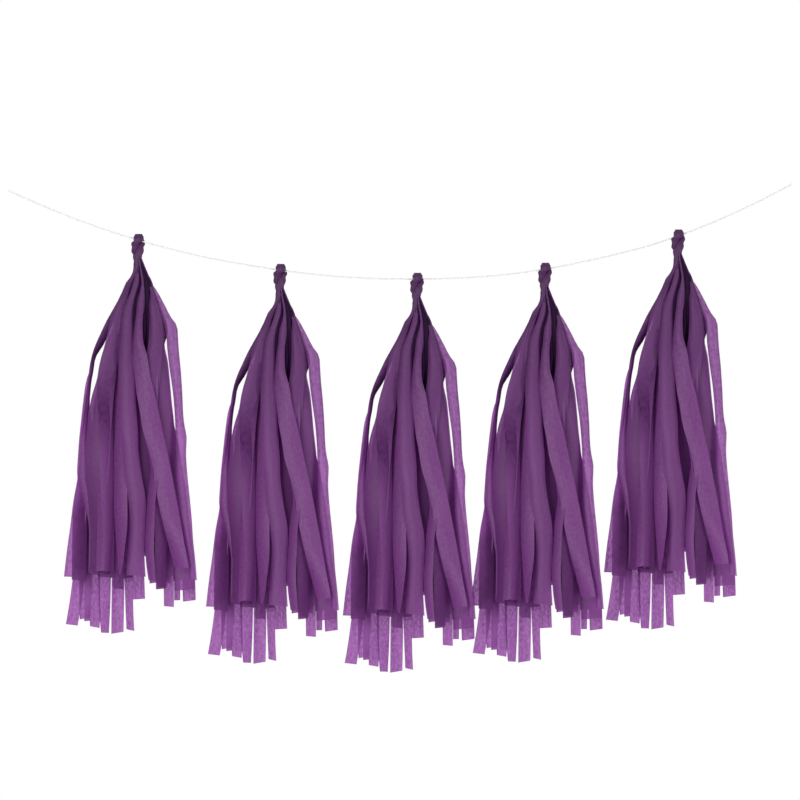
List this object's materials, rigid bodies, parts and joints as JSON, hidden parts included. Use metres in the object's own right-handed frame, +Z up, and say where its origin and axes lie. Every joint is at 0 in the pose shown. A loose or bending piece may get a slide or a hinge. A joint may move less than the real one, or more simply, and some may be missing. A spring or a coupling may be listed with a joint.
{
  "type": "tissue paper tassel garland",
  "caption": "Row of fringed, twisted tissue paper tassels threaded on a thin string, hung between two points as a party garland.",
  "frame": {"origin": "left cut end of the string, where the garland is tied or pinned up", "axes": "+X along the garland to the string's right end, +Y away from the viewer, +Z up"},
  "size_m": [0.6865, 0.0857, 0.4272],
  "materials": {
    "tissue": "matt purple tissue paper, thin enough to see light through",
    "string": "white cotton string"
  },
  "bodies": {
    "root": {"string": "string", "tassel_1": "tissue", "tassel_2": "tissue", "tassel_3": "tissue", "tassel_4": "tissue", "tassel_5": "tissue"}
  },
  "joints": []
}
